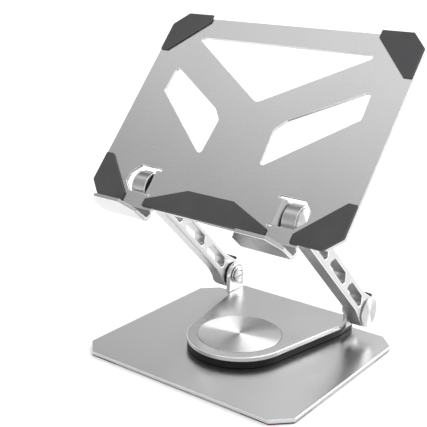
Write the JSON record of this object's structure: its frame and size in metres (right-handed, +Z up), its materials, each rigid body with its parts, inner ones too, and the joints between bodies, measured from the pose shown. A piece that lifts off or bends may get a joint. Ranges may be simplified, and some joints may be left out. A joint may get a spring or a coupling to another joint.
{
  "type": "tablet stand",
  "caption": "Folding, swivelling desk stand in aluminium sheet: a cut-out tray with two lips on two hinged arms, on a turning foot over a square base.",
  "frame": {"origin": "middle of the base plate, on the table under the feet", "axes": "+Z up; -Y towards the person using the tablet; +X to the right of someone who looks at the front"},
  "size_m": [0.24, 0.1777, 0.2668],
  "materials": {
    "base_sheet": "satin, fine bead blast",
    "swivel_sheet": "satin, fine bead blast",
    "tray_sheet": "satin, fine bead blast",
    "arm_metal": "bead blasted and anodised",
    "spun_cap": "spun, bright",
    "hinge_steel": "turned",
    "pad_rubber": "matt, fine grain",
    "bumper_rubber": "matt",
    "spacer_black": "matt, moulded",
    "black_plastic": "smooth"
  },
  "bodies": {
    "base": {"base_plate": "base_sheet", "base_foot_front_left": "pad_rubber", "base_foot_rear_left": "pad_rubber", "base_foot_front_right": "pad_rubber", "base_foot_rear_right": "pad_rubber", "swivel_hub": "hinge_steel", "hub_screw_1": "hinge_steel", "hub_screw_2": "hinge_steel", "hub_screw_3": "hinge_steel", "swivel_bolt": "hinge_steel"},
    "swivel": {"swivel_plate": "swivel_sheet", "swivel_spacer": "spacer_black", "swivel_washer": "black_plastic", "swivel_cap": "spun_cap", "lower_hinge_bolt_right": "hinge_steel", "lower_hinge_bolt_left": "hinge_steel", "lower_spring_washer_right": "hinge_steel", "lower_spring_washer_left": "hinge_steel", "lower_hinge_nut_right": "hinge_steel", "lower_hinge_nut_left": "hinge_steel"},
    "arms": {"arm_right": "arm_metal", "arm_left": "arm_metal", "arm_bumper_right": "bumper_rubber", "arm_bumper_left": "bumper_rubber", "lower_friction_washer_right": "black_plastic", "lower_friction_washer_left": "black_plastic", "lower_hinge_cap_right": "spun_cap", "lower_hinge_cap_left": "spun_cap", "upper_friction_washer_right": "black_plastic", "upper_friction_washer_left": "black_plastic", "upper_hinge_cap_right": "spun_cap", "upper_hinge_cap_left": "spun_cap"},
    "tray": {"tray_plate": "tray_sheet", "tray_pad_lower_left": "pad_rubber", "tray_pad_upper_left": "pad_rubber", "tray_pad_lower_right": "pad_rubber", "tray_pad_upper_right": "pad_rubber", "tray_pad_middle": "pad_rubber", "upper_hinge_bolt_right": "hinge_steel", "upper_hinge_bolt_left": "hinge_steel", "upper_spring_washer_right": "hinge_steel", "upper_spring_washer_left": "hinge_steel", "upper_hinge_nut_right": "hinge_steel", "upper_hinge_nut_left": "hinge_steel"}
  },
  "joints": [
    {"name": "swivel_turn", "type": "hinge", "parent": "base", "child": "swivel", "pos_m": [0, -0.0017, 0.008], "axis": [0, 0, 1], "continuous": true},
    {"name": "arm_tilt", "type": "hinge", "parent": "swivel", "child": "arms", "pos_m": [0, 0.076, 0.0283], "axis": [1, 0, 0], "range_deg": [-55, 30.5]},
    {"name": "tray_tilt", "type": "hinge", "parent": "arms", "child": "tray", "pos_m": [0, -0.03256, 0.13611], "axis": [1, 0, 0], "range_deg": [-90.5, 60]}
  ]
}
